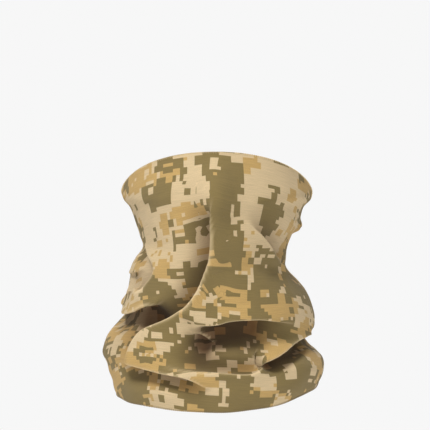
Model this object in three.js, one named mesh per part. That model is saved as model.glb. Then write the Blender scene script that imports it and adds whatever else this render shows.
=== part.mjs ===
// Camouflage neck gaiter (tube face mask) in its worn shape: a printed jersey tube that covers
// the nose, cheeks and lower ears, pinches in under the jaw and bunches round the neck.
// Millimetres, +Z up, the wearer faces -Y and the wearer's left is +X.
// The origin is on the head's vertical axis, level with the tube's top edge over the nose bridge.

import * as THREE from 'three';
import { mergeVertices } from 'three/addons/utils/BufferGeometryUtils.js';

// ---- Driving dimensions ---------------------------------------------------------------------

const WORN_HEIGHT = 218;       // nose-bridge point of the top edge down to the front of the bottom edge
const WALL = 1.2;              // jersey wall with its finest gathers

const CHEEK_WIDTH = 155;       // across the tube at the cheekbones
const LOBE_WIDTH = 163;        // across the covered ear lobes
const CHIN_WIDTH = 140;        // across the cheeks, level with the mouth
const JAW_WIDTH = 126;         // across the pinch under the jaw
const THROAT_WIDTH = 155;      // across the cloth that stands off the throat
const NECK_WIDTH = 172;        // across the top of the bunched collar
const COLLAR_WIDTH = 190;      // across the bunched collar, the widest place
const BAND_WIDTH = 180;        // across the smooth band below the last fold
const HEM_WIDTH = 158;         // across the bottom edge

const LOBE_DROP = 30;          // the drops are measured down from the origin
const CHIN_DROP = 60;
const JAW_DROP = 82;
const THROAT_DROP = 118;
const NECK_DROP = 146;
const COLLAR_DROP = 172;
const BAND_DROP = 200;

const BRIDGE_FRONT = 96;       // head axis to the cloth, forwards
const CHEEK_FRONT = 102;
const CHIN_FRONT = 103;
const THROAT_FRONT = 95;
const COLLAR_FRONT = 91;
const HEM_FRONT = 86;

const CROWN_BACK = 101;        // head axis to the cloth, backwards
const LOBE_BACK = 98;
const NAPE_BACK = 80;
const NECK_BACK = 88;
const COLLAR_BACK = 94;
const HEM_BACK = 87;

const RIM_SIDE_DROP = 34;      // how far the top edge falls from the nose bridge to below the ears
const RIM_SIDE_ANGLE = THREE.MathUtils.degToRad(100);
const RIM_SHAPE = 1.15;        // above 1 the edge stays level for longer over the nose
const RIM_BACK_DROP = 26;      // and where it lies at the back of the head
const HEM_RISE = 10;           // how much higher the bottom edge lies at the back than in front

const NOSE_LIFT = 12;          // how far the nose lifts the cloth from the curve of the cheeks
const NOSE_WIDTH = 15;
const NOSE_DROP = 36;
const NOSE_LENGTH = 24;

const THREAD = 0.5;            // sewing thread diameter
const CLEARANCE = 0.4;         // gap between pieces that touch
const SEAM_WIDTH = 5;          // between the two needle lines of the back seam
const SEAM_END = 3;            // the seam threads stop this far from the tube's two edges
const COVER_PITCH = 10;        // length of one zigzag of the cover thread
const LOOPER_PITCH = 12;

const LABEL_WIDTH = 22;
const LABEL_LENGTH = 30;
const LABEL_THICKNESS = 0.4;
const LABEL_DROP = 24;         // from the top edge to the top of the care label, inside the nape
const LABEL_STITCH_INSET = 2.5;
const LABEL_STITCH_MARGIN = 2;

// ---- Facet counts ---------------------------------------------------------------------------

const COLUMNS = 64;
const ROWS = 27;
const THREAD_SIDES = 6;
const STEPS_PER_ZIGZAG = 8;
const NEEDLE_THREAD_STEPS = 3 * ROWS;
const LABEL_STITCH_STEPS = 10;
const LABEL_CELLS = 6;

// ---- Sections of the tube, from its top edge to its bottom edge -----------------------------

// lean shifts a section's two sides towards the wearer's left.

const SECTIONS = [
  { drop: 0, width: CHEEK_WIDTH, lean: 1.5, front: BRIDGE_FRONT, back: CROWN_BACK },
  { drop: LOBE_DROP, width: LOBE_WIDTH, lean: 1.5, front: CHEEK_FRONT, back: LOBE_BACK },
  { drop: CHIN_DROP, width: CHIN_WIDTH, lean: 2, front: CHIN_FRONT, back: (LOBE_BACK + NAPE_BACK) / 2 },
  { drop: JAW_DROP, width: JAW_WIDTH, lean: 0, front: CHIN_FRONT, back: NAPE_BACK },
  { drop: THROAT_DROP, width: THROAT_WIDTH, lean: 0, front: THROAT_FRONT, back: NECK_BACK },
  { drop: NECK_DROP, width: NECK_WIDTH, lean: 0, front: COLLAR_FRONT, back: NECK_BACK },
  { drop: COLLAR_DROP, width: COLLAR_WIDTH, lean: -3, front: COLLAR_FRONT, back: COLLAR_BACK },
  { drop: BAND_DROP, width: BAND_WIDTH, lean: 1, front: COLLAR_FRONT, back: COLLAR_BACK },
  { drop: WORN_HEIGHT, width: HEM_WIDTH, lean: -1, front: HEM_FRONT, back: HEM_BACK },
];

const SQUARENESS = 2.2;        // 2 is an ellipse; the jaw and the nape are a little squarer
const GIRTH_RADIUS = 85;       // turns an angle round the tube into a length along the cloth

// ---- Folds ----------------------------------------------------------------------------------
// Each runs along a path of [degrees round from the front, drop]; a negative height is a valley.

const FOLDS = [
  { name: 'nose to right collar', height: 5, width: 10,
    path: [[-2, 62], [-5, 98], [-12, 124], [-24, 142], [-42, 156], [-56, 164]] },
  { name: 'pocket behind it', height: -5, width: 10,
    path: [[-38, 128], [-54, 138], [-70, 142], [-86, 143]] },
  { name: 'right cheek over the neck', height: 3, width: 9,
    path: [[-58, 76], [-40, 92], [-40, 104], [-56, 112]] },
  { name: 'nose to left jaw', height: 4, width: 9,
    path: [[16, 52], [27, 74], [36, 90], [50, 108]] },
  { name: 'throat ledge', height: 5, width: 9,
    path: [[2, 140], [14, 138], [30, 139], [52, 145], [84, 152]] },
  { name: 'under the throat ledge', height: -7, width: 9,
    path: [[-22, 164], [-6, 161], [14, 159], [38, 161], [60, 164]] },
  { name: 'throat swag', height: 4, width: 9,
    path: [[-42, 182], [-22, 184], [0, 189], [22, 188]] },
  { name: 'left collar roll', height: 3.5, width: 10,
    path: [[46, 180], [60, 174], [78, 170], [98, 174]] },
  { name: 'right collar roll', height: 3.5, width: 12,
    path: [[-78, 172], [-92, 174], [-108, 174]] },
  { name: 'upper nape swag', height: 5, width: 12,
    path: [[112, 112], [145, 128], [180, 134], [215, 126], [248, 110]] },
  { name: 'lower nape swag', height: 5, width: 12,
    path: [[108, 158], [145, 174], [180, 180], [215, 172], [252, 156]] },
];

// ---- Helpers --------------------------------------------------------------------------------

const TURN = 2 * Math.PI;

function smoothStep(x) {
  const t = Math.min(1, Math.max(0, x));
  return t * t * (3 - 2 * t);
}

function bell(distance, width) {
  return Math.exp(-((distance / width) ** 2));
}

// The tube's size at a drop, on a smooth line through the sections.
function sectionAt(drop) {
  const last = SECTIONS.length - 1;
  let low = 0;
  while (low < last - 1 && drop > SECTIONS[low + 1].drop) low += 1;
  const section = (i) => SECTIONS[Math.min(last, Math.max(0, i))];
  const share = (drop - section(low).drop) / (section(low + 1).drop - section(low).drop);
  const t = Math.min(1, Math.max(0, share));
  const through = (key) => {
    const [a, b, c, d] = [low - 1, low, low + 1, low + 2].map((i) => section(i)[key]);
    const curve = (2 * a - 5 * b + 4 * c - d) * t * t + (3 * b - a - 3 * c + d) * t * t * t;
    return (2 * b + (c - a) * t + curve) / 2;
  };
  const side = through('width') / 2;
  return { side, lean: through('lean'), front: through('front'), back: through('back') };
}

// Distance along the cloth from a point to a fold's path.
function distanceToPath(angle, drop, path) {
  const degrees = THREE.MathUtils.radToDeg(angle);
  const middle = (path[0][0] + path[path.length - 1][0]) / 2;
  const turned = middle + THREE.MathUtils.euclideanModulo(degrees - middle + 180, 360) - 180;
  const perDegree = (GIRTH_RADIUS * TURN) / 360;
  const point = new THREE.Vector3(turned * perDegree, drop, 0);
  const nearest = new THREE.Vector3();
  let best = Infinity;
  for (let i = 0; i + 1 < path.length; i += 1) {
    const line = new THREE.Line3(
      new THREE.Vector3(path[i][0] * perDegree, path[i][1], 0),
      new THREE.Vector3(path[i + 1][0] * perDegree, path[i + 1][1], 0),
    );
    line.closestPointToPoint(point, true, nearest);
    best = Math.min(best, nearest.distanceTo(point));
  }
  return best;
}

// The top edge falls from the nose bridge to below the ears, then rises a little to the nape.
function rimDrop(angle) {
  const away = Math.abs(THREE.MathUtils.euclideanModulo(angle + Math.PI, TURN) - Math.PI);
  const fall = RIM_SIDE_DROP * smoothStep(away / RIM_SIDE_ANGLE) ** RIM_SHAPE;
  const rise = smoothStep((away - RIM_SIDE_ANGLE) / (Math.PI - RIM_SIDE_ANGLE));
  return fall + (RIM_BACK_DROP - RIM_SIDE_DROP) * rise;
}

function hemDrop(angle) {
  return WORN_HEIGHT - (HEM_RISE * (1 - Math.cos(angle))) / 2;
}

// Middle of the jersey wall: travel runs from 0 at the top edge to 1 at the bottom edge.
function wallMiddle(angle, travel) {
  const drop = rimDrop(angle) + (hemDrop(angle) - rimDrop(angle)) * travel;
  const { side, lean, front, back } = sectionAt(drop);
  const across = Math.abs(Math.sin(angle)) / (side + lean * Math.sign(Math.sin(angle)));
  const along = Math.abs(Math.cos(angle)) / (Math.cos(angle) > 0 ? front : back);
  let radius = (across ** SQUARENESS + along ** SQUARENESS) ** (-1 / SQUARENESS);
  if (Math.cos(angle) > 0) {
    const sideways = radius * Math.sin(angle);
    radius += NOSE_LIFT * bell(sideways, NOSE_WIDTH) * bell(drop - NOSE_DROP, NOSE_LENGTH);
  }
  for (const fold of FOLDS) {
    radius += fold.height * bell(distanceToPath(angle, drop, fold.path), fold.width);
  }
  return new THREE.Vector3(radius * Math.sin(angle), -radius * Math.cos(angle), -drop);
}

// Outward normal of the wall, and the direction down the cloth.
function wallFrame(angle, travel) {
  const step = 1e-3;
  const low = Math.max(0, travel - step);
  const high = Math.min(1, travel + step);
  const down = wallMiddle(angle, high).sub(wallMiddle(angle, low)).normalize();
  const round = wallMiddle(angle + step, travel).sub(wallMiddle(angle - step, travel)).normalize();
  const out = new THREE.Vector3().crossVectors(down, round).normalize();
  return { out, down };
}

function wallPoint(angle, travel, offset) {
  return wallMiddle(angle, travel).addScaledVector(wallFrame(angle, travel).out, offset);
}

// A point a gap away from the wall's facets, outside for side 1 and inside for side -1.
function besideWall(angle, travel, side, gap) {
  const column = (angle / TURN) * COLUMNS;
  const row = travel * ROWS;
  const column0 = Math.floor(column);
  const row0 = Math.min(ROWS - 1, Math.floor(row));
  const corner = (i, j) => wallPoint((i / COLUMNS) * TURN, j / ROWS, (side * WALL) / 2);
  const upper = corner(column0, row0).lerp(corner(column0 + 1, row0), column - column0);
  const lower = corner(column0, row0 + 1).lerp(corner(column0 + 1, row0 + 1), column - column0);
  const onFacet = upper.lerp(lower, row - row0);
  return onFacet.addScaledVector(wallFrame(angle, travel).out, side * gap);
}

function closedBody(geometry) {
  geometry.deleteAttribute('normal');
  geometry.deleteAttribute('uv');
  const merged = mergeVertices(geometry, 1e-5);
  merged.computeVertexNormals();
  return merged;
}

function moveVertices(geometry, place) {
  const position = geometry.getAttribute('position');
  const from = new THREE.Vector3();
  for (let i = 0; i < position.count; i += 1) {
    from.fromBufferAttribute(position, i);
    const to = place(from);
    position.setXYZ(i, to.x, to.y, to.z);
  }
  return geometry;
}

// A round thread along a path function of a share from 0 to 1.
function threadAlong(pathPoint, steps) {
  const points = Array.from({ length: steps + 1 }, (_, i) => pathPoint(i / steps));
  const section = new THREE.Shape(
    Array.from({ length: THREAD_SIDES }, (_, i) => {
      const turn = (i / THREAD_SIDES) * TURN;
      return new THREE.Vector2(Math.cos(turn), Math.sin(turn)).multiplyScalar(THREAD / 2);
    }),
  );
  const extrudePath = new THREE.CatmullRomCurve3(points);
  return closedBody(new THREE.ExtrudeGeometry(section, { steps, extrudePath, bevelEnabled: false }));
}

function piece(name, geometry, color, roughness) {
  const material = new THREE.MeshStandardMaterial({ color, roughness, metalness: 0 });
  const mesh = new THREE.Mesh(geometry, material);
  mesh.name = name;
  return mesh;
}

// ---- The jersey tube ------------------------------------------------------------------------
// The lathe's profile holds a row number as its height and the wall's side in its radius.

function tubePanel() {
  const nominal = 10;
  const inside = Array.from({ length: ROWS + 1 }, (_, row) => new THREE.Vector2(nominal - 1, -row));
  const outside = inside.map((point) => new THREE.Vector2(nominal + 1, point.y)).reverse();
  const profile = [...inside, ...outside, inside[0].clone()];
  const lathe = new THREE.LatheGeometry(profile, COLUMNS);
  moveVertices(lathe, (from) => {
    const angle = THREE.MathUtils.euclideanModulo(Math.atan2(from.x, from.z), TURN);
    const side = Math.sign(Math.hypot(from.x, from.z) - nominal);
    return wallPoint(angle, -from.y / ROWS, (side * WALL) / 2);
  });
  return closedBody(lathe);
}

// A thread whipped round one edge, as a ring just past the cut edge of the wall.
function edgeThread(travel) {
  const nominal = 10;
  const outwards = travel === 0 ? -1 : 1;
  const section = Array.from({ length: THREAD_SIDES }, (_, i) => {
    const turn = (i / THREAD_SIDES) * TURN;
    return new THREE.Vector2(nominal + Math.cos(turn) * (THREAD / 2), Math.sin(turn) * (THREAD / 2));
  });
  const lathe = new THREE.LatheGeometry([...section, section[0].clone()], COLUMNS);
  moveVertices(lathe, (from) => {
    const angle = THREE.MathUtils.euclideanModulo(Math.atan2(from.x, from.z), TURN);
    const { out, down } = wallFrame(angle, travel);
    const past = CLEARANCE + THREAD / 2 - outwards * from.y;
    return wallMiddle(angle, travel)
      .addScaledVector(out, Math.hypot(from.x, from.z) - nominal)
      .addScaledVector(down, outwards * past);
  });
  return closedBody(lathe);
}

// ---- The back seam --------------------------------------------------------------------------
// Two needle threads run down the nape; a cover thread zigzags over them outside and a looper
// thread zigzags inside.

const seamLength = hemDrop(Math.PI) - rimDrop(Math.PI);
const seamStart = SEAM_END / seamLength;
const seamTravel = (share) => seamStart + (1 - 2 * seamStart) * share;
const seamAngle = (sideways, travel) => Math.PI - sideways / wallMiddle(Math.PI, travel).y;

function needleThread(sideways) {
  return threadAlong((share) => {
    const travel = seamTravel(share);
    return besideWall(seamAngle(sideways, travel), travel, 1, CLEARANCE + THREAD / 2);
  }, NEEDLE_THREAD_STEPS);
}

function zigzagThread(side, pitch, gap) {
  const zigzags = Math.round(seamLength / pitch);
  return threadAlong((share) => {
    const travel = seamTravel(share);
    const sideways = (SEAM_WIDTH / 2) * Math.sin(share * zigzags * TURN);
    return besideWall(seamAngle(sideways, travel), travel, side, gap);
  }, zigzags * STEPS_PER_ZIGZAG);
}

// ---- The care label -------------------------------------------------------------------------

const labelGap = CLEARANCE + THREAD + CLEARANCE;
const labelTop = LABEL_DROP / seamLength;
const labelTravel = (down) => labelTop + down / seamLength;

function careLabel() {
  const box = new THREE.BoxGeometry(
    LABEL_WIDTH, LABEL_THICKNESS, LABEL_LENGTH, LABEL_CELLS, 1, LABEL_CELLS,
  );
  moveVertices(box, (from) => {
    const travel = labelTravel(LABEL_LENGTH / 2 - from.z);
    const gap = labelGap + LABEL_THICKNESS / 2 - from.y;
    return besideWall(seamAngle(from.x, travel), travel, -1, gap);
  });
  return closedBody(box);
}

function labelStitch() {
  const travel = labelTravel(LABEL_STITCH_INSET);
  const span = LABEL_WIDTH - 2 * LABEL_STITCH_MARGIN;
  const gap = labelGap + LABEL_THICKNESS + CLEARANCE + THREAD / 2;
  return threadAlong((share) => {
    const sideways = span * (share - 0.5);
    return besideWall(seamAngle(sideways, travel), travel, -1, gap);
  }, LABEL_STITCH_STEPS);
}

// ---- The gaiter -----------------------------------------------------------------------------

const gaiter = new THREE.Group();
const SAND = 0xb59f74;
const PALE_THREAD = 0xd8ccae;
const TAN_THREAD = 0xa8936a;
const LABEL_WHITE = 0xe9e6dd;

gaiter.add(piece('tube_panel', tubePanel(), SAND, 0.9));
gaiter.add(piece('top_edge_thread', edgeThread(0), PALE_THREAD, 0.8));
gaiter.add(piece('bottom_edge_thread', edgeThread(1), PALE_THREAD, 0.8));
gaiter.add(piece('back_seam_needle_thread_left', needleThread(SEAM_WIDTH / 2), TAN_THREAD, 0.8));
gaiter.add(piece('back_seam_needle_thread_right', needleThread(-SEAM_WIDTH / 2), TAN_THREAD, 0.8));
gaiter.add(piece(
  'back_seam_cover_thread',
  zigzagThread(1, COVER_PITCH, CLEARANCE + THREAD + CLEARANCE + THREAD / 2),
  TAN_THREAD,
  0.8,
));
gaiter.add(piece(
  'back_seam_looper_thread',
  zigzagThread(-1, LOOPER_PITCH, CLEARANCE + THREAD / 2),
  TAN_THREAD,
  0.8,
));
gaiter.add(piece('care_label', careLabel(), LABEL_WHITE, 0.6));
gaiter.add(piece('label_stitch_thread', labelStitch(), PALE_THREAD, 0.8));

export default gaiter;
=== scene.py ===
"""Camouflage neck gaiter: a printed jersey tube, draped, sewn and edged on its CAD frame.

Lengths are millimetres on the cloth and metres in the scene. Seen from the front, across runs
to the wearer's left (+X) and drop runs down from the tube's top edge over the nose bridge.
"""

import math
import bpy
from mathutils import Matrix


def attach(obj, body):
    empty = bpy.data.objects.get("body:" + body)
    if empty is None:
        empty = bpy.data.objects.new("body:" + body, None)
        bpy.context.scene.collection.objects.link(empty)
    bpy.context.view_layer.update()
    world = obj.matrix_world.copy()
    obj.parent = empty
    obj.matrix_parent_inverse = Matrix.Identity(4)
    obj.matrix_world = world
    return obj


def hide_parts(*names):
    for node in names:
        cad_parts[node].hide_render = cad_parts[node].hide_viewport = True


bl_info = {
    "name": "Camouflage Neck Gaiter",
    "version": (1, 0, 0),
    "blender": (4, 5, 0),
    "location": "View3D > Sidebar > Gaiter",
    "description": "Drapes, prints and sews a jersey neck gaiter in its worn shape",
    "category": "Add Mesh",
}

from collections import namedtuple

import bmesh
import bpy
import numpy as np
from bpy.props import FloatProperty, FloatVectorProperty, IntProperty, PointerProperty
from mathutils import Vector, noise

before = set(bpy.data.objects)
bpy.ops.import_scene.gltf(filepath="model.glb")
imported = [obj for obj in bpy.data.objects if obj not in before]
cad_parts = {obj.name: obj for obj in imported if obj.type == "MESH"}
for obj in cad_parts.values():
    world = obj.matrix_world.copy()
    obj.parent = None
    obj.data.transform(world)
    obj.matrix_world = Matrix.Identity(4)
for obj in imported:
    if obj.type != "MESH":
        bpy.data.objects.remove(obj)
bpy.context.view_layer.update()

MM = 0.001
BODY = "root"


# ---- The worn surface ------------------------------------------------------------------------

# The tube's sections, from its top edge to its bottom edge: drop, how far it reaches from the
# head's axis to the wearer's right and left, then forwards and backwards
SECTIONS = [
    (0, 76, 79, 96, 101),
    (28, 81, 84, 102, 98),
    (38, 80, 84, 103.5, 95),
    (46, 74, 77, 104, 92),
    (60, 68.5, 73, 103, 87),
    (70, 65, 66.5, 102.5, 83),
    (80, 62.5, 62.5, 102, 80),
    (90, 69, 61.5, 100, 80),
    (99, 73, 62.5, 98, 82),
    (118, 76, 79, 95, 86),
    (136, 81, 86, 93, 89),
    (146, 86, 86, 91, 90),
    (158, 94, 84, 90, 92),
    (172, 98, 92, 90, 94),
    (186, 93, 95, 91, 95),
    (200, 89, 90, 91, 93),
    (210, 85, 82, 89, 90),
    (218, 80, 73, 86, 87),
]
SQUARENESS = 2.2
GIRTH_RADIUS = 85.0            # turns an angle round the tube into a length along the cloth

RIM_SIDE_DROP = 34.0
RIM_SIDE_ANGLE = math.radians(100)
RIM_SHAPE = 1.15
RIM_BACK_DROP = 26.0
HEM_RISE = 10.0
HEM_SIDE_RISE = 9.0
HEM_LEAN = 4.5

NOSE_LIFT = 12.0
NOSE_WIDTH = 15.0
NOSE_DROP = 36.0
NOSE_LENGTH = 24.0


def ease(x):
    """Rise smoothly from 0 at x = 0 to 1 at x = 1."""
    t = np.clip(x, 0.0, 1.0)
    return t * t * (3 - 2 * t)


def bell(distance, width):
    """A smooth hump, 1 in its middle."""
    return np.exp(-(distance / width) ** 2)


def smooth_path(points, steps):
    """A Catmull-Rom line through the points."""
    points = np.array(points, dtype=float)
    padded = np.vstack([2 * points[0] - points[1], points, 2 * points[-1] - points[-2]])
    shares = np.linspace(0, len(points) - 1, steps)
    index = np.minimum(shares.astype(int), len(points) - 2)
    t = (shares - index)[:, None]
    p0, p1, p2, p3 = (padded[index + k] for k in range(4))
    return 0.5 * (2 * p1 + (p2 - p0) * t + (2 * p0 - 5 * p1 + 4 * p2 - p3) * t ** 2
                  + (3 * p1 - p0 - 3 * p2 + p3) * t ** 3)


SECTION_LINE = smooth_path(SECTIONS, 20 * len(SECTIONS))


def section_at(drop):
    """Reach to the right, left, front and back at each drop."""
    return [np.interp(drop, SECTION_LINE[:, 0], SECTION_LINE[:, k]) for k in (1, 2, 3, 4)]


def base_radius(angle, drop):
    """The plain tube's radius, with the nose in its front."""
    right, left, front, back = section_at(drop)
    sine, cosine = np.sin(angle), np.cos(angle)
    side = np.where(sine > 0, left, right)
    depth = np.where(cosine > 0, front, back)
    across = np.abs(sine) / side
    along = np.abs(cosine) / depth
    radius = (across ** SQUARENESS + along ** SQUARENESS) ** (-1 / SQUARENESS)
    nose = NOSE_LIFT * bell(radius * sine, NOSE_WIDTH) * bell(drop - NOSE_DROP, NOSE_LENGTH)
    return radius + np.where(cosine > 0, nose, 0.0)


def base_point(angle, drop):
    """A point of the plain tube, before it is folded."""
    radius = base_radius(angle, drop)
    return np.stack([radius * np.sin(angle), -radius * np.cos(angle), -drop], axis=-1)


def base_normal(angle, drop):
    """The plain tube's outward direction."""
    step = 1e-3
    down = base_point(angle, drop + step * 50) - base_point(angle, drop - step * 50)
    round_ = base_point(angle + step, drop) - base_point(angle - step, drop)
    normal = np.cross(down, round_)
    return normal / np.linalg.norm(normal, axis=-1, keepdims=True)


def rim_drop(angle):
    """How far below the nose bridge the top edge runs."""
    away = np.abs(angle)
    fall = RIM_SIDE_DROP * ease(away / RIM_SIDE_ANGLE) ** RIM_SHAPE
    rise = ease((away - RIM_SIDE_ANGLE) / (math.pi - RIM_SIDE_ANGLE))
    return fall + (RIM_BACK_DROP - RIM_SIDE_DROP) * rise


def hem_drop(angle):
    """How far below the nose bridge the bottom edge runs."""
    side = np.sin(angle)
    rise = HEM_RISE * (1 - np.cos(angle)) / 2 + side ** 2 * (HEM_SIDE_RISE + HEM_LEAN * side)
    return SECTIONS[-1][0] - rise


# ---- Folds -----------------------------------------------------------------------------------
# A lap is a line where the cloth on its left hangs over the cloth on its right. Its path is a list
# of (across, drop) on the front, or (degrees round from the front, drop). width is the size of
# the roll, lap is how far it hangs over as a share of that, height and depth are how far the roll
# stands out and the pocket goes in, lead and trail are the shares in which it grows and fades.

Lap = namedtuple("Lap", "name face path width lap height depth lead trail")
Swell = namedtuple("Swell", "name face path width height")

LAPS = [
    Lap("nose to right collar", "front",
        [(-4, 34), (-4, 54), (-4, 73), (-5, 88), (-9, 101), (-15, 116), (-24, 128), (-37, 138),
         (-58, 149), (-68, 159), (-74, 171), (-78, 188)], 6.0, 2.5, 4.5, 8.0, 0.20, 0.24),
    Lap("right cheek over the neck", "front",
        [(-64, 70), (-57, 82), (-51, 95), (-53, 106), (-63, 114), (-75, 120)],
        5.0, 1.9, 3.0, 3.5, 0.25, 0.30),
    Lap("right neck sag", "round",
        [(-112, 120), (-90, 131), (-72, 138), (-54, 137), (-39, 131), (-26, 123)],
        5.5, 2.6, 2.5, 9.0, 0.35, 0.20),
    Lap("upper neck crumple", "front",
        [(-76, 104), (-69, 102), (-62, 98), (-57, 92)], 3.0, 1.5, 1.4, 1.2, 0.35, 0.35),
    Lap("lower neck crumple", "front",
        [(-78, 122), (-72, 117), (-66, 108), (-62, 102)], 3.0, 1.4, 1.2, 1.2, 0.35, 0.35),
    Lap("left jaw", "front",
        [(68, 112), (60, 101), (51, 90), (44, 78), (36, 67), (27, 59), (18, 52)],
        6.0, 1.5, 4.5, 4.5, 0.25, 0.35),
    Lap("throat ledge", "round",
        [(-15, 148), (1, 144), (8, 141), (22, 140), (34, 142), (48, 145), (58, 146)],
        5.5, 1.7, 3.5, 8.0, 0.15, 0.55),
    Lap("throat tuck", "front",
        [(-24, 147), (-20, 152), (-12, 157), (2, 161)],
        4.5, 1.7, 2.5, 6.0, 0.45, 0.30),
    Lap("throat lip", "front",
        [(32, 175), (40, 177), (48, 174), (57, 169), (67, 162), (77, 156), (84, 151)],
        4.5, 2.3, 4.5, 7.0, 0.20, 0.25),
    Lap("throat curl", "front",
        [(44, 183), (37, 178), (34, 171), (38, 164)], 3.0, 2.0, 1.5, 3.0, 0.35, 0.35),
    Lap("swag crest", "front",
        [(50, 179), (42, 183), (27, 186), (1, 184), (-19, 180), (-34, 176), (-46, 172)],
        4.5, 1.25, 4.0, 7.0, 0.20, 0.40),
    Lap("swag hem", "front",
        [(-84, 177), (-64, 181), (-46, 185), (-28, 190), (-7, 197), (8, 203)],
        5.5, 2.1, 4.0, 7.0, 0.26, 0.40),
    Lap("left shoulder", "round",
        [(60, 152), (76, 151), (96, 150), (120, 142)], 7.0, 1.8, 2.0, 7.0, 0.30, 0.40),
    Lap("upper nape swag", "round",
        [(122, 114), (150, 128), (180, 134), (210, 126), (234, 114)],
        10.0, 0.95, 4.0, 3.5, 0.35, 0.35),
    Lap("lower nape swag", "round",
        [(104, 164), (140, 177), (176, 184), (212, 177), (250, 162)],
        10.0, 1.0, 4.0, 3.5, 0.35, 0.35),
    Lap("left nape tuck", "round",
        [(150, 158), (132, 152), (112, 138), (100, 122)], 6.0, 1.2, 2.0, 3.5, 0.40, 0.40),
    Lap("right nape tuck", "round",
        [(262, 110), (240, 138), (222, 152), (206, 158)], 6.0, 1.2, 2.0, 3.5, 0.40, 0.40),
]
SWELLS = [
    Swell("throat pocket", "front", [(-10, 160), (2, 159), (16, 157), (34, 157)], 11, -10),
    Swell("right pocket", "front", [(-64, 146), (-50, 142)], 8, -4),
    Swell("under the throat lip", "front", [(46, 181), (62, 175), (78, 164)], 4, -6),
    Swell("left jaw corner", "round", [(86, 61), (92, 63)], 4, 4),
    Swell("right neck corner", "round", [(-94, 125), (-90, 127)], 5, 3),
]


DEEPEST_FOLD = 12.5            # pockets this deep or deeper get the darkest painted shade


def wrinkles(angle, drop):
    """The finest creases: gathers at the sides of the jaw and slack in the collar."""
    gather = 1.1 * np.sin(angle) ** 2 * bell(drop - 84, 28) + 0.15
    slack = 1.5 * ease((drop - 118) / 40)
    heights = [
        tight * noise.noise((x / 8, y / 8, z / 40)) + loose * noise.noise((x / 30, y / 30, z / 11))
        for (x, y, z), tight, loose in zip(base_point(angle, drop), gather, slack)
    ]
    return np.array(heights)


def angle_of(across, drop):
    """The angle at which the plain tube lies that far across, on its front."""
    angles = np.linspace(-math.pi / 2, math.pi / 2, 181)
    reach = base_point(angles, np.full_like(angles, drop))[:, 0]
    return np.interp(across, reach, angles)


def near_path(spread, fold):
    """Signed distance to a fold's path, the share along it and the direction off it."""
    places, drops = zip(*fold.path)
    if fold.face == "round":
        angles = [math.radians(place) for place in places]
    else:
        angles = [angle_of(place, drop) for place, drop in fold.path]
    flat = [(angle * GIRTH_RADIUS, drop) for angle, drop in zip(angles, drops)]
    path = smooth_path(flat, 12 * len(flat))
    middle = path[:, 0].mean()
    girth = 2 * math.pi * GIRTH_RADIUS
    at = spread.copy()
    at[:, 0] = middle + (at[:, 0] - middle + girth / 2) % girth - girth / 2
    lengths = np.r_[0, np.cumsum(np.linalg.norm(np.diff(path, axis=0), axis=1))]
    margin = 6 * fold.width
    close = np.all((at > path.min(axis=0) - margin) & (at < path.max(axis=0) + margin), axis=1)
    all_signed, all_share, all_off = np.full(len(at), 1e9), np.zeros(len(at)), np.zeros_like(at)
    at = at[close]
    best = np.full(len(at), 1e9)
    share = np.zeros(len(at))
    signed = np.zeros(len(at))
    off = np.zeros_like(at)
    for i in range(len(path) - 1):
        step = path[i + 1] - path[i]
        size = np.linalg.norm(step)
        away = at - path[i]
        t = np.clip(away @ step / size ** 2, 0, 1)
        gap = away - t[:, None] * step
        distance = np.linalg.norm(gap, axis=1)
        nearer = distance < best
        right = np.array([-step[1], step[0]]) / size
        best = np.where(nearer, distance, best)
        share = np.where(nearer, (lengths[i] + t * size) / lengths[-1], share)
        signed = np.where(nearer, np.where(gap @ right < 0, -distance, distance), signed)
        off[nearer] = right
    all_signed[close], all_share[close], all_off[close] = signed, share, off
    return all_signed, all_share, all_off


def roll_edge(lap):
    """How far a roll's edge stands past its path and where on the cloth it is, in roll widths."""
    along = np.linspace(0, 2, 81)
    laps = np.linspace(0, 3, 61)
    stand = laps[:, None] * along * np.exp(-along ** 2 / 2) - along
    edge = along[stand.argmax(axis=1)]
    return np.interp(lap, laps, stand.max(axis=1)), np.interp(lap, laps, edge)


def drape(angle, travel):
    """Where points of the cloth are worn, in millimetres, how deep and how near a fold's crest."""
    drop = rim_drop(angle) + (hem_drop(angle) - rim_drop(angle)) * travel
    spread = np.stack([angle * GIRTH_RADIUS, drop], axis=-1)
    moved = spread.copy()
    lift = np.zeros(len(spread))
    crest = np.zeros(len(spread))
    for lap in LAPS:
        signed, share, off = near_path(spread, lap)
        strength = ease(share / lap.lead) * ease((1 - share) / lap.trail)
        stand, edge = roll_edge(lap.lap * strength)
        t = np.clip(signed / lap.width + stand, -9, 9)
        reach = -lap.lap * lap.width * t * np.exp(-t ** 2 / 2) * strength
        moved += off * reach[:, None]
        lift += strength * lap.height * bell(t + 0.8, 1.0)
        lift -= strength * lap.depth * bell(t - 1.5, 1.5)
        # nearness to a roll's crest, which the print turns into a painted highlight
        crest = np.maximum(crest, strength * bell(t + edge + 0.1, 0.2))
    for swell in SWELLS:
        signed = near_path(spread, swell)[0]
        lift += swell.height * bell(signed, swell.width)
    lift += wrinkles(angle, drop)
    at_angle = moved[:, 0] / GIRTH_RADIUS
    out = base_normal(at_angle, moved[:, 1])
    point = base_point(at_angle, moved[:, 1]) + out * lift[:, None]
    # how deep each point lies in a pocket, which the print turns into painted shade
    return point, np.clip(-lift, 0, None), crest


def unit(vectors):
    """The same directions, each one long."""
    return vectors / np.linalg.norm(vectors, axis=-1, keepdims=True)


def cloth_frame(angle, travel):
    """Points of the worn cloth with its outward, downward and sideways directions there."""
    step = 2e-3
    point = drape(angle, travel)[0]
    down = unit(drape(angle, np.clip(travel + step, 0, 1))[0]
                - drape(angle, np.clip(travel - step, 0, 1))[0])
    side = unit(drape(angle + step, travel)[0] - drape(angle - step, travel)[0])
    return point, unit(np.cross(down, side)), down, side


# ---- Shader sums -----------------------------------------------------------------------------

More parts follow.
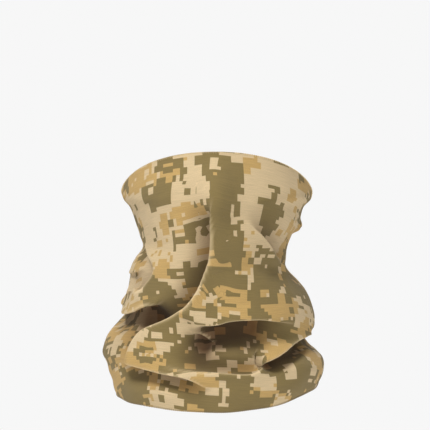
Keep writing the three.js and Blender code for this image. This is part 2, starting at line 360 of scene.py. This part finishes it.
class Wire:
    """A node's output that can be written in a sum."""

    def __init__(self, recipe, socket):
        self.recipe = recipe
        self.socket = socket

    def math(self, operation, *values):
        node = self.recipe.node("ShaderNodeMath", dict(enumerate(values)), operation=operation)
        return Wire(self.recipe, node.outputs[0])

    def __add__(self, other):
        return self.math("ADD", self, other)

    def __radd__(self, other):
        return self.math("ADD", other, self)

    def __sub__(self, other):
        return self.math("SUBTRACT", self, other)

    def __rsub__(self, other):
        return self.math("SUBTRACT", other, self)

    def __mul__(self, other):
        return self.math("MULTIPLY", self, other)

    def __rmul__(self, other):
        return self.math("MULTIPLY", other, self)

    def __gt__(self, other):
        return self.math("GREATER_THAN", self, other)

    def __lt__(self, other):
        return self.math("LESS_THAN", self, other)

    def most(self, other):
        return self.math("MAXIMUM", self, other)

    def near(self, middle, reach):
        return self.math("COMPARE", self, middle, reach)

    def sine(self):
        return self.math("SINE", self)


class Recipe:
    """A material's nodes, made one at a time."""

    def __init__(self, name, roughness, **constants):
        self.material = bpy.data.materials.new(name)
        self.material.use_nodes = True
        self.tree = self.material.node_tree
        self.shader = self.tree.nodes["Principled BSDF"]
        self.shader.inputs["Roughness"].default_value = roughness
        for key, value in constants.items():
            self.shader.inputs[key.replace("_", " ").title()].default_value = value

    def feed(self, socket, value):
        if isinstance(value, Wire):
            self.tree.links.new(value.socket, socket)
        elif isinstance(value, bpy.types.NodeSocket):
            self.tree.links.new(value, socket)
        else:
            socket.default_value = value

    def node(self, kind, sockets=None, **settings):
        node = self.tree.nodes.new(kind)
        for key, value in settings.items():
            setattr(node, key, value)
        for key, value in (sockets or {}).items():
            self.feed(node.inputs[key], value)
        return node

    def vector(self, operation, first, second):
        node = self.node("ShaderNodeVectorMath", {0: first, 1: second}, operation=operation)
        return Wire(self, node.outputs[0])

    def split(self, vector):
        node = self.node("ShaderNodeSeparateXYZ", {0: vector})
        return [Wire(self, output) for output in node.outputs]

    def noise(self, vector, scale, detail=0.0):
        node = self.node("ShaderNodeTexNoise", {"Vector": vector, "Scale": scale, "Detail": detail})
        return Wire(self, node.outputs[0])

    def blend(self, share, first, second):
        node = self.node("ShaderNodeMix", {0: share, 2: first, 3: second}, data_type="FLOAT")
        return Wire(self, node.outputs[0])

    def mix(self, share, first, second):
        node = self.node(
            "ShaderNodeMix", {0: share, 6: first, 7: second}, data_type="RGBA", clamp_factor=True,
        )
        return Wire(self, node.outputs[2])

    def paint(self, color=None, roughness=None, bump=None, bump_height=0.0):
        if color is not None:
            self.feed(self.shader.inputs["Base Color"], color)
        if roughness is not None:
            self.feed(self.shader.inputs["Roughness"], roughness)
        if bump is not None:
            node = self.node("ShaderNodeBump", {"Height": bump, "Distance": bump_height})
            self.feed(self.shader.inputs["Normal"], node.outputs[0])
        return self.material


# ---- The print -------------------------------------------------------------------------------
# The tube is printed in squares, in ragged patches. The patches of the front are listed in the
# order
# they are painted: from and to across the front, from and to down from the top edge, in millimetres
# along the cloth. The rest of the print is made of noise.

SQUARE = 3.0
SAND, TAN, OLIVE = 0, 1, 2
PAINTED_FOLD_SHADE = (0.20, 0.12, 0.07)                # painted shade: the share of each colour left deep in a fold
PAINTED_CREST_HIGHLIGHT = (0.86, 0.66, 0.38, 1.0)      # painted highlight along the lit crest of a fold
SHOW_THROUGH = (0.62, 0.55, 0.42, 1.0)   # the pale back of the cloth, over the print
Patch = namedtuple("Patch", "left right top bottom ink")

PATCHES = [
    # the nose, the cheeks and the mouth
    Patch(-90, 90, 0, 98, SAND),
    Patch(-10, 21, 0, 26, OLIVE),
    Patch(-8, 19, 20, 66, OLIVE),
    Patch(-3, 20, 60, 122, OLIVE),
    Patch(-92, -52, 0, 22, TAN),
    Patch(-50, -22, 2, 28, OLIVE),
    Patch(-66, -32, 24, 40, OLIVE),
    Patch(-42, -33, 10, 24, TAN),
    Patch(20, 31, 2, 17, TAN),
    Patch(42, 53, 26, 64, OLIVE),
    Patch(51, 61, 42, 66, OLIVE),
    Patch(62, 76, 24, 36, TAN),
    Patch(78, 96, 10, 22, TAN),
    Patch(82, 92, 4, 12, OLIVE),
    Patch(80, 96, 40, 60, TAN),
    Patch(-34, -9, 44, 58, TAN),
    Patch(-50, -37, 52, 70, TAN),
    Patch(-35, -13, 60, 77, OLIVE),
    Patch(-66, -55, 58, 76, OLIVE),
    Patch(-118, -74, 92, 124, SAND),
    Patch(-104, -86, 84, 98, TAN),
    Patch(-96, -84, 108, 118, TAN),
    Patch(8, 20, 49, 56, SAND),
    Patch(-5, 3, 69, 79, SAND),
    Patch(-4, 3, 84, 95, TAN),
    Patch(-56, -39, 82, 106, TAN),
    Patch(-40, -24, 96, 118, OLIVE),
    Patch(-28, -6, 91, 116, OLIVE),
    Patch(-33, -25, 108, 113, TAN),
    Patch(24, 28, 72, 75, OLIVE),
    # the jaw and the throat panel
    Patch(36, 120, 84, 128, OLIVE),
    Patch(18, 60, 102, 130, OLIVE),
    Patch(33, 42, 78, 90, OLIVE),
    Patch(22, 34, 80, 95, SAND),
    Patch(36, 48, 88, 95, SAND),
    Patch(21, 31, 84, 99, TAN),
    Patch(27, 35, 102, 117, SAND),
    Patch(4, 27, 118, 134, TAN),
    Patch(10, 18, 122, 127, OLIVE),
    Patch(56, 69, 99, 104, TAN),
    Patch(-18, -9, 125, 136, TAN),
    Patch(-22, 30, 136, 150, OLIVE),
    Patch(44, 82, 128, 143, TAN),
    Patch(60, 66, 118, 130, TAN),
    Patch(78, 88, 128, 140, SAND),
    Patch(28, 42, 120, 148, OLIVE),
    Patch(-18, 3, 142, 149, SAND),
    # below the right cheek
    Patch(-50, -26, 104, 122, SAND),
    Patch(-64, -40, 114, 136, OLIVE),
    Patch(-88, -64, 120, 142, TAN),
    Patch(-60, -30, 136, 176, OLIVE),
    Patch(-54, -40, 166, 178, SAND),
    # the throat pocket
    Patch(-60, 90, 172, 206, OLIVE),
    Patch(0, 40, 150, 180, OLIVE),
    Patch(26, 36, 160, 170, TAN),
    Patch(-32, -4, 152, 172, SAND),
    Patch(-92, -46, 178, 208, TAN),
    Patch(-78, -60, 174, 188, SAND),
    Patch(-66, -50, 184, 196, OLIVE),
    Patch(-12, 4, 178, 190, SAND),
    Patch(-50, -34, 178, 186, SAND),
    Patch(30, 42, 188, 206, SAND),
    Patch(42, 62, 152, 166, OLIVE),
    Patch(44, 76, 168, 188, TAN),
    Patch(38, 48, 172, 184, SAND),
    Patch(0, 16, 196, 206, SAND),
    # the collar band
    Patch(-52, -24, 208, 222, SAND),
    Patch(-26, 2, 212, 224, TAN),
    Patch(2, 34, 208, 236, OLIVE),
    Patch(-104, -64, 222, 246, OLIVE),
    Patch(-54, -30, 232, 258, SAND),
    Patch(-72, -58, 236, 258, TAN),
    Patch(-32, -14, 228, 241, OLIVE),
    Patch(-30, -10, 242, 258, TAN),
    Patch(3, 11, 223, 236, SAND),
    Patch(12, 52, 226, 250, OLIVE),
    Patch(-6, 14, 242, 252, TAN),
    Patch(30, 54, 208, 221, SAND),
    Patch(56, 84, 206, 222, OLIVE),
    Patch(62, 72, 202, 212, SAND),
    Patch(38, 50, 220, 232, TAN),
    Patch(55, 68, 224, 238, SAND),
    Patch(78, 120, 214, 240, OLIVE),
]


def printed_jersey(face):
    """The jersey's print on its outside, or the paler show-through of it on its inside."""
    recipe = Recipe(f"printed_jersey_{face}", 0.92, sheen_weight=0.06, sheen_roughness=0.6)
    uv = recipe.node("ShaderNodeUVMap", uv_map="cloth_metres").outputs[0]
    cloth = recipe.vector("MULTIPLY", uv, (1000.0, 1000.0, 0.0))
    cell = recipe.vector("ADD", recipe.vector("SNAP", cloth, (SQUARE,) * 3), (SQUARE / 2,) * 3)
    block = recipe.vector("SNAP", recipe.vector("ADD", cell, (3.0, 0.0, 0)), (2 * SQUARE,) * 3)
    slab = recipe.vector("SNAP", recipe.vector("ADD", cell, (6.0, 3.0, 0)), (9.0, 6.0, 3.0))

    olive_field = (recipe.noise(block, 0.028) + 0.45 * recipe.noise(slab, 0.09)
                   + 0.16 * recipe.noise(cell, 0.31))
    tan_field = (recipe.noise(recipe.vector("ADD", block, (313.0, 71.0, 5.0)), 0.034)
                 + 0.45 * recipe.noise(recipe.vector("ADD", slab, (17.0, 97.0, 3.0)), 0.10)
                 + 0.16 * recipe.noise(recipe.vector("ADD", cell, (7.0, 3.0, 9.0)), 0.33))
    ink = (tan_field > 0.815).most(2 * (olive_field > 0.825))

    across, down, _ = recipe.split(cell)
    ragged_across = (across + 20 * (recipe.noise(block, 0.085) - 0.5)
                     + 15 * (recipe.noise(block, 0.21) - 0.5))
    slanted = recipe.vector("ADD", slab, (41.0, 13.0, 7.0))
    ragged_down = (down + 20 * (recipe.noise(slanted, 0.08) - 0.5)
                   + 15 * (recipe.noise(slanted, 0.19) - 0.5))
    for patch in PATCHES:
        inside = ragged_across.near((patch.left + patch.right) / 2, (patch.right - patch.left) / 2)
        inside *= ragged_down.near((patch.top + patch.bottom) / 2, (patch.bottom - patch.top) / 2)
        ink = recipe.blend(inside, ink, patch.ink)

    dabs = recipe.noise(recipe.vector("ADD", slab, (211.0, 37.0, 2.0)), 0.13)
    ink = recipe.blend(dabs > 0.745, ink, TAN)
    dabs = recipe.noise(recipe.vector("ADD", block, (91.0, 307.0, 8.0)), 0.15)
    ink = recipe.blend(dabs > 0.755, ink, OLIVE)
    ink = recipe.blend(dabs < 0.245, ink, SAND)

    speck = recipe.node("ShaderNodeTexWhiteNoise", {"Vector": cell}, noise_dimensions="2D")
    speck = Wire(recipe, speck.outputs[0])
    ink = ink + (speck > 0.994) * (0 - ink)
    ink = ink + (speck < 0.005) * (1 - ink)

    props = bpy.context.scene.gaiter_print
    sand, tan, olive = ((*color, 1.0) for color in (props.sand, props.tan, props.olive))
    color = recipe.mix(ink > 0.5, sand, tan)
    color = recipe.mix(ink > 1.5, color, olive)

    streak = recipe.noise(recipe.vector("MULTIPLY", cloth, (0.06, 1.6, 1.0)), 1.0, 2.0)
    fleck = recipe.noise(cloth, 1.4, 1.0)
    fold = recipe.node("ShaderNodeAttribute", attribute_name="fold").outputs["Color"]
    deep, crest, _ = recipe.split(fold)
    shade = 0.62 + 0.44 * streak + 0.32 * fleck
    tone = recipe.node("ShaderNodeCombineXYZ", {0: shade, 1: shade, 2: shade}).outputs[0]
    color = recipe.vector("MULTIPLY", color, tone)
    # Painted shade: deep in a fold the colour is darkened and browned, by how deep the pocket is.
    painted_shade_color = recipe.vector("MULTIPLY", color, PAINTED_FOLD_SHADE)
    color = recipe.mix(props.pocket_shade * deep, color, painted_shade_color)
    # Painted highlight: pale gold along each fold's crest.
    color = recipe.mix(props.crest_light * crest, color, PAINTED_CREST_HIGHLIGHT)
    if face == "inside":
        color = recipe.mix(0.78, color, SHOW_THROUGH)

    x, y, _ = recipe.split(cloth)
    wale = (x * (2 * math.pi / props.wale)).sine()
    course = (y * (2 * math.pi / props.wale)).sine()
    knit = wale * course + 0.6 * fleck
    return recipe.paint(color=color, roughness=0.86 + 0.1 * fleck, bump=knit, bump_height=0.00012)


def spun_thread(name, color):
    """Sewing thread: two plies twisted together, with a little sheen."""
    recipe = Recipe(name, 0.6, sheen_weight=0.3)
    place = recipe.node("ShaderNodeTexCoord").outputs["Object"]
    cloth = recipe.vector("MULTIPLY", place, (1000.0, 1000.0, 1000.0))
    x, y, z = recipe.split(cloth)
    twist = ((x + y + 1.4 * z) * 9.0).sine()
    fluff = recipe.noise(cloth, 0.8, 3.0)
    shade = 0.70 + 0.10 * twist + 0.40 * fluff
    tone = recipe.node("ShaderNodeCombineXYZ", {0: shade, 1: shade, 2: shade}).outputs[0]
    return recipe.paint(
        color=recipe.vector("MULTIPLY", color, tone), roughness=0.55 + 0.2 * fluff,
        bump=twist + 0.8 * fluff, bump_height=0.00006,
    )


def label_satin(name):
    """A blank woven satin ribbon with fine ribs across it."""
    recipe = Recipe(name, 0.5, sheen_weight=0.3)
    place = recipe.node("ShaderNodeTexCoord").outputs["Object"]
    cloth = recipe.vector("MULTIPLY", place, (1000.0, 1000.0, 1000.0))
    x, y, z = recipe.split(cloth)
    rib = (z * 14.0).sine()
    warp = (x * 11.0).sine()
    age = recipe.noise(cloth, 0.12, 4.0)
    color = recipe.mix(age, (0.80, 0.77, 0.68, 1.0), (0.68, 0.63, 0.52, 1.0))
    shade = 0.97 + 0.03 * rib
    tone = recipe.node("ShaderNodeCombineXYZ", {0: shade, 1: shade, 2: shade}).outputs[0]
    return recipe.paint(
        color=recipe.vector("MULTIPLY", color, tone), roughness=0.36 + 0.22 * age,
        bump=rib + 0.5 * warp, bump_height=0.00005,
    )


# ---- Mesh helpers ----------------------------------------------------------------------------

EDGE_GIRTH = 520.0             # round an edge of the worn tube
SEAM_LENGTH = 232.0            # down the back, along the folds
NAPE_RADIUS = 88.0             # of the worn tube where the seam runs
LABEL_RADIUS = 97.0            # and where the label is sewn in
BACK_LENGTH = 200.0            # from edge to edge at the back
LABEL_TRAVEL = 0.125           # where the label's top lies, as a share of that
FLATTENING_TURNS = 900
FLATTENING_PULL = 0.12         # how much of a wrong distance is put right in one turn


def finish_piece(bm, name, material):
    """A smooth object in the scene from a bmesh."""
    mesh = bpy.data.meshes.new(name)
    bm.to_mesh(mesh)
    bm.free()
    for polygon in mesh.polygons:
        polygon.use_smooth = True
    piece = bpy.data.objects.new(name, mesh)
    bpy.context.scene.collection.objects.link(piece)
    mesh.materials.append(material)
    return piece


def thread_along(name, path, width, material, closed=False):
    """A round thread along points given in millimetres."""
    curve = bpy.data.curves.new(name, "CURVE")
    curve.dimensions = "3D"
    curve.bevel_depth = width * MM / 2
    curve.bevel_resolution = 1
    curve.use_fill_caps = not closed
    spline = curve.splines.new("POLY")
    spline.points.add(len(path) - 1)
    spline.points.foreach_set("co", np.column_stack([path * MM, np.ones(len(path))]).ravel())
    spline.use_cyclic_u = closed
    curve.materials.append(material)
    piece = bpy.data.objects.new(name, curve)
    bpy.context.scene.collection.objects.link(piece)
    return piece


def overlock(edge):
    """The path of a thread whipped round the top edge, 0, or the bottom edge, 1."""
    sewing = bpy.context.scene.gaiter_sewing
    stitches = round(EDGE_GIRTH / sewing.overlock_pitch)
    angle = np.linspace(-math.pi, math.pi, stitches * 10, endpoint=False)
    travel = np.full_like(angle, float(edge))
    point, out, down, _ = cloth_frame(angle, travel)
    past = 1.0 if edge else -1.0
    turn = np.linspace(0, 2 * math.pi * stitches, len(angle), endpoint=False)[:, None]
    return (point + out * (sewing.overlock_bite * 0.55 * np.sin(turn))
            + down * past * (sewing.thread / 2 - sewing.overlock_bite * 0.5
                             + sewing.overlock_bite * 0.5 * np.cos(turn)))


def seam_path(across, lift, points_per_zigzag, pitch):
    """A path down the back seam; across and lift are functions of the stitches counted so far."""
    stitches = round(SEAM_LENGTH / pitch)
    share = np.linspace(0, 1, stitches * points_per_zigzag)
    travel = 0.012 + 0.976 * share
    count = share * stitches
    angle = math.pi - across(count) / NAPE_RADIUS
    point, out, _, _ = cloth_frame(angle, travel)
    return point + out * lift(count)[:, None]


# ---- Properties ------------------------------------------------------------------------------

class GAITER_PG_cloth(bpy.types.PropertyGroup):
    """Sizes of the jersey tube"""

    columns: IntProperty(name="Columns", description="Grid columns round the tube", default=260)
    rows: IntProperty(name="Rows", description="Grid rows down the tube", default=160)
    thickness: FloatProperty(
        name="Thickness", description="Thickness of the jersey", default=0.6 * MM,
        subtype="DISTANCE", unit="LENGTH",
    )
    flat_girth: FloatProperty(
        name="Flat girth", description="Girth of the tube before it is worn", default=0.5,
        subtype="DISTANCE", unit="LENGTH",
    )
    flat_length: FloatProperty(
        name="Flat length", description="Length of the tube before it is worn", default=0.29,
        subtype="DISTANCE", unit="LENGTH",
    )


class GAITER_PG_print(bpy.types.PropertyGroup):
    """Inks and knit of the jersey"""

    sand: FloatVectorProperty(
        name="Sand", description="Lightest ink", default=(0.64, 0.485, 0.275), subtype="COLOR",
        size=3, min=0, max=1,
    )
    tan: FloatVectorProperty(
        name="Golden tan", description="Middle ink", default=(0.53, 0.34, 0.115), subtype="COLOR",
        size=3, min=0, max=1,
    )
    olive: FloatVectorProperty(
        name="Olive", description="Darkest ink", default=(0.225, 0.160, 0.052), subtype="COLOR",
        size=3, min=0, max=1,
    )
    # strength of the painted shade deep in the folds
    pocket_shade: FloatProperty(
        name="Pocket shade", description="How much darker the cloth is deep in a fold",
        default=0.9, min=0, max=1,
    )
    # strength of the painted highlight along the fold crests
    crest_light: FloatProperty(
        name="Crest light", description="How much paler the cloth is along a fold's crest",
        default=0.7, min=0, max=1,
    )
    wale: FloatProperty(
        name="Wale", description="Width of one knit stitch, in millimetres", default=0.9, min=0.2,
    )


class GAITER_PG_sewing(bpy.types.PropertyGroup):
    """Threads and label, in millimetres"""

    thread: FloatProperty(
        name="Thread", description="Width of the sewing thread", default=0.42, min=0.1,
    )
    overlock_pitch: FloatProperty(
        name="Overlock pitch", description="From one edge stitch to the next", default=1.7, min=0.5,
    )
    overlock_bite: FloatProperty(
        name="Overlock bite", description="How far the edge stitches reach in",
        default=1.5, min=0.5,
    )
    seam_width: FloatProperty(
        name="Seam width", description="Between the two needle lines of the back seam",
        default=5.0, min=1,
    )
    seam_pitch: FloatProperty(
        name="Seam pitch", description="Length of one stitch of the back seam", default=2.8, min=1,
    )
    label_width: FloatProperty(
        name="Label width", description="Width of the care label", default=22.0, min=5,
    )
    label_length: FloatProperty(
        name="Label length", description="Length of the care label", default=30.0, min=5,
    )


# ---- Operators -------------------------------------------------------------------------------

def lay_flat(worn, turns):
    """Lay a worn grid of cloth flat: across from its middle column and down from its top row.

    Every neighbour pulls or pushes its neighbours until they lie as far apart as they are worn.
    """
    steps = [(0, 1), (1, 0), (1, 1), (1, -1)]
    lengths = [np.linalg.norm(shifted(worn, *step) - worn[:len(worn) - step[0]], axis=2)
               for step in steps]
    girth = np.median(lengths[0].sum(axis=1))
    rows, columns = worn.shape[:2]
    down = np.vstack([np.zeros((1, columns)), np.cumsum(lengths[1], axis=0)])
    across = np.broadcast_to(np.arange(columns) * girth / columns - girth / 2, (rows, columns))
    down = 0.5 * down + 0.5 * down.mean(axis=1, keepdims=True)
    flat = np.stack([across, down], axis=-1)
    wrap = np.array([girth, 0.0])
    for _ in range(turns):
        push = np.zeros_like(flat)
        for (row, column), length in zip(steps, lengths):
            gap = shifted(flat, row, column, wrap) - flat[:rows - row]
            size = np.linalg.norm(gap, axis=2)
            pull = gap * (FLATTENING_PULL * (size - length) / np.maximum(size, 1e-9))[..., None]
            push[:rows - row] += pull
            push[row:] -= np.roll(pull, column, axis=1)
        flat += push
    middle = flat[0, columns // 2]
    return flat - middle, girth


def shifted(grid, row, column, wrap=0.0):
    """The grid seen from a neighbour, closed round the tube."""
    moved = np.roll(grid, -column, axis=1)[row:]
    if column:
        past_the_seam = slice(-column, None) if column > 0 else slice(0, -column)
        moved[:, past_the_seam] += wrap * np.sign(column)
    return moved


class GAITER_OT_jersey_tube(bpy.types.Operator):
    """Drape the printed jersey tube"""

    bl_idname = "gaiter.jersey_tube"
    bl_label = "Jersey Tube"

    def execute(self, context):
        cloth = context.scene.gaiter_cloth
        columns, rows = cloth.columns, cloth.rows
        bm = bmesh.new()
        bmesh.ops.create_grid(bm, x_segments=columns, y_segments=rows, size=0.5)
        at = np.array([vertex.co[:2] for vertex in bm.verts])
        worn, depth, crest = drape(at[:, 0] * 2 * math.pi, 0.5 - at[:, 1])
        column = np.rint((at[:, 0] + 0.5) * columns).astype(int)
        row = np.rint((0.5 - at[:, 1]) * rows).astype(int)
        grid = np.zeros((rows + 1, columns + 1, 3))
        grid[row, column] = worn
        flat, girth = lay_flat(grid[:, :-1], FLATTENING_TURNS)
        flat = np.concatenate([flat, flat[:, :1] + (girth, 0.0)], axis=1) * MM
        layer = bm.loops.layers.uv.new("cloth_metres")
        for bm_face in bm.faces:
            for loop in bm_face.loops:
                index = loop.vert.index
                loop[layer].uv = flat[row[index], column[index]]
        # The fold attribute holds how deep each point lies in a pocket, for painted shade, and how
        # near a crest, for a painted highlight.
        fold = bm.verts.layers.float_color.new("fold")
        for vertex, place, deep, high in zip(bm.verts, worn, depth, crest):
            vertex.co = Vector(place) * MM
            vertex[fold] = (min(deep / DEEPEST_FOLD, 1.0), high, 0.0, 1.0)
        bmesh.ops.remove_doubles(bm, verts=bm.verts, dist=1e-5)
        bmesh.ops.recalc_face_normals(bm, faces=bm.faces)
        tube = finish_piece(bm, "jersey_tube", printed_jersey("outside"))
        tube.data.materials.append(printed_jersey("inside"))
        shell = tube.modifiers.new("cloth_thickness", "SOLIDIFY")
        shell.thickness = cloth.thickness
        shell.offset = 0.0
        shell.material_offset = 1
        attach(tube, BODY)
        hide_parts("tube_panel")
        return {"FINISHED"}


class GAITER_OT_edge_threads(bpy.types.Operator):
    """Whip the overlock thread round the tube's two edges"""

    bl_idname = "gaiter.edge_threads"
    bl_label = "Edge Threads"

    def execute(self, context):
        sewing = context.scene.gaiter_sewing
        pale = spun_thread("edge_thread_pale", (0.80, 0.62, 0.33))
        dark = spun_thread("edge_thread_tan", (0.34, 0.25, 0.13))
        for name, edge, material in (("top_overlock", 0, pale), ("bottom_overlock", 1, dark)):
            ring = thread_along(name, overlock(edge), sewing.thread, material, closed=True)
            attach(ring, BODY)
            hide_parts(("top_edge_thread", "bottom_edge_thread")[edge])
        return {"FINISHED"}


class GAITER_OT_back_seam(bpy.types.Operator):
    """Sew the flat seam down the nape"""

    bl_idname = "gaiter.back_seam"
    bl_label = "Back Seam"

    def execute(self, context):
        sewing = context.scene.gaiter_sewing
        thread = spun_thread("seam_thread_tan", (0.33, 0.24, 0.12))
        half = sewing.seam_width / 2
        clear = context.scene.gaiter_cloth.thickness / MM / 2 + sewing.thread / 2

        def bob(count):
            dip = np.clip(1.6 * np.cos(2 * math.pi * count), -0.9, 0.9)
            return clear * (0.2 + dip)

        def weave(count):
            return half * np.clip(1.5 * np.sin(2 * math.pi * count), -1, 1)

        def weave_later(count):
            return weave(count + 0.25)

        def level(height):
            def same(count):
                return np.full_like(count, height)
            return same

        lines = (
            ("needle_line_left", "back_seam_needle_thread_left", level(half), bob, 10),
            ("needle_line_right", "back_seam_needle_thread_right", level(-half), bob, 10),
            ("cover_zigzag", "back_seam_cover_thread", weave,
             level(clear + sewing.thread * 0.9), 12),
            ("looper_zigzag", "back_seam_looper_thread", weave_later, level(-clear), 12),
        )
        for name, node, across, lift, points in lines:
            path = seam_path(across, lift, points, sewing.seam_pitch)
            line = thread_along(name, path, sewing.thread, thread)
            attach(line, BODY)
            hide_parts(node)
        return {"FINISHED"}


class GAITER_OT_care_label(bpy.types.Operator):
    """Sew the blank care label inside the nape"""

    bl_idname = "gaiter.care_label"
    bl_label = "Care Label"

    def execute(self, context):
        sewing = context.scene.gaiter_sewing
        width, length = sewing.label_width, sewing.label_length
        bm = bmesh.new()
        bmesh.ops.create_grid(bm, x_segments=14, y_segments=28, size=0.5)
        at = np.array([vertex.co[:2] for vertex in bm.verts])
        down = 0.5 - at[:, 1]
        angle = math.pi - at[:, 0] * width / LABEL_RADIUS
        point, out, _, _ = cloth_frame(angle, LABEL_TRAVEL + down * length / BACK_LENGTH)
        away = 1.1 + 2.6 * down ** 2 + 0.5 * np.sin(5 * at[:, 0] + 2 * down) * down
        for vertex, place in zip(bm.verts, point - out * away[:, None]):
            vertex.co = Vector(place) * MM
        bmesh.ops.recalc_face_normals(bm, faces=bm.faces)
        label = finish_piece(bm, "blank_care_label", label_satin("label_ribbon"))
        ribbon = label.modifiers.new("ribbon_thickness", "SOLIDIFY")
        ribbon.thickness = 0.3 * MM
        ribbon.offset = 0.0
        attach(label, BODY)
        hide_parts("care_label")

        count = np.linspace(0, 1, 90)
        angle = math.pi - (count - 0.5) * (width - 3.0) / LABEL_RADIUS
        row = LABEL_TRAVEL + 2.4 / BACK_LENGTH
        point, out, _, _ = cloth_frame(angle, np.full_like(count, row))
        bob = 1.1 + 0.34 * np.sin(2 * math.pi * count * 9)
        path = point - out * bob[:, None]
        stitch = thread_along("label_stitch", path, sewing.thread * 0.8,
                              spun_thread("label_thread", (0.80, 0.74, 0.60)))
        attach(stitch, BODY)
        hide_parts("label_stitch_thread")
        return {"FINISHED"}


class GAITER_OT_declare_cloth(bpy.types.Operator):
    bl_idname = "gaiter.declare_cloth"
    bl_label = "Declare Cloth"

    def execute(self, context):
        return {"FINISHED"}


FLOOR_SIZE = 1.4
FLOOR_LEVEL = -0.45
MIDDLE = (0, 0, -0.12)         # where the lamps point
VIEWING_PLACE = (0, -1.8, -0.0525)
VIEWING_LENS = 171.4


class GAITER_OT_stage(bpy.types.Operator):
    """Set the floor, the soft studio light and the camera"""

    bl_idname = "gaiter.stage"
    bl_label = "Stage"

    def execute(self, context):
        scene = context.scene
        scene.view_settings.view_transform = "Standard"
        bm = bmesh.new()
        bmesh.ops.create_grid(bm, x_segments=1, y_segments=1, size=FLOOR_SIZE)
        bmesh.ops.translate(bm, verts=bm.verts, vec=(0, 0, FLOOR_LEVEL))
        white = bpy.data.materials.new("pale_floor")
        white.use_nodes = True
        shader = white.node_tree.nodes["Principled BSDF"]
        shader.inputs["Base Color"].default_value = (0.9, 0.9, 0.9, 1)
        shader.inputs["Roughness"].default_value = 0.8
        shader.inputs["Emission Color"].default_value = (1, 1, 1, 1)
        shader.inputs["Emission Strength"].default_value = 0.2
        floor = finish_piece(bm, "floor", white)

        world = bpy.data.worlds.new("studio")
        world.use_nodes = True
        background = world.node_tree.nodes["Background"]
        background.inputs["Color"].default_value = (1, 1, 1, 1)
        rays = world.node_tree.nodes.new("ShaderNodeLightPath")
        seen = world.node_tree.nodes.new("ShaderNodeMapRange")
        seen.inputs["To Min"].default_value = 0.20
        seen.inputs["To Max"].default_value = 0.93
        world.node_tree.links.new(rays.outputs["Is Camera Ray"], seen.inputs["Value"])
        world.node_tree.links.new(seen.outputs[0], background.inputs["Strength"])
        scene.world = world

        for name, place, size, power in (
            ("key", (-0.6, -1.1, 1.6), 0.45, 37.0),
            ("fill", (1.1, -1.4, 0.5), 1.2, 8.5),
            ("side", (-1.5, -0.7, 0.2), 1.0, 3.0),
            ("back", (0.3, 1.4, 1.1), 1.0, 22.0),
        ):
            light = bpy.data.lights.new(name, "AREA")
            light.energy = power
            light.size = size
            lamp = bpy.data.objects.new(name, light)
            scene.collection.objects.link(lamp)
            lamp.location = place
            toward = Vector(MIDDLE) - Vector(place)
            lamp.rotation_euler = toward.to_track_quat("-Z", "Y").to_euler()

        data = bpy.data.cameras.new("camera")
        data.lens = VIEWING_LENS
        data.sensor_width = 36.0
        camera = bpy.data.objects.new("camera", data)
        camera.location = VIEWING_PLACE
        camera.rotation_euler = (math.pi / 2, 0, 0)
        scene.collection.objects.link(camera)
        scene.camera = camera
        return {"FINISHED"}


class GAITER_PT_panel(bpy.types.Panel):
    """Sizes and steps of the gaiter"""

    bl_label = "Gaiter"
    bl_idname = "GAITER_PT_panel"
    bl_space_type = "VIEW_3D"
    bl_region_type = "UI"
    bl_category = "Gaiter"

    def draw(self, context):
        layout = self.layout
        scene = context.scene
        for settings in (scene.gaiter_cloth, scene.gaiter_print, scene.gaiter_sewing):
            for key in type(settings).__annotations__:
                layout.prop(settings, key)
        for step in STEPS:
            layout.operator(step.bl_idname)


STEPS = (
    GAITER_OT_jersey_tube, GAITER_OT_edge_threads, GAITER_OT_back_seam, GAITER_OT_care_label,
    GAITER_OT_declare_cloth, GAITER_OT_stage,
)
CLASSES = (GAITER_PG_cloth, GAITER_PG_print, GAITER_PG_sewing, *STEPS, GAITER_PT_panel)


def register():
    for cls in CLASSES:
        bpy.utils.register_class(cls)
    bpy.types.Scene.gaiter_cloth = PointerProperty(type=GAITER_PG_cloth)
    bpy.types.Scene.gaiter_print = PointerProperty(type=GAITER_PG_print)
    bpy.types.Scene.gaiter_sewing = PointerProperty(type=GAITER_PG_sewing)


def unregister():
    del bpy.types.Scene.gaiter_sewing
    del bpy.types.Scene.gaiter_print
    del bpy.types.Scene.gaiter_cloth
    for cls in reversed(CLASSES):
        bpy.utils.unregister_class(cls)


def main():
    """Build the gaiter, one step after the other."""
    register()
    bpy.ops.gaiter.jersey_tube()
    bpy.ops.gaiter.edge_threads()
    bpy.ops.gaiter.back_seam()
    bpy.ops.gaiter.care_label()
    bpy.ops.gaiter.declare_cloth()
    bpy.ops.gaiter.stage()


if __name__ == "__main__":
    main()
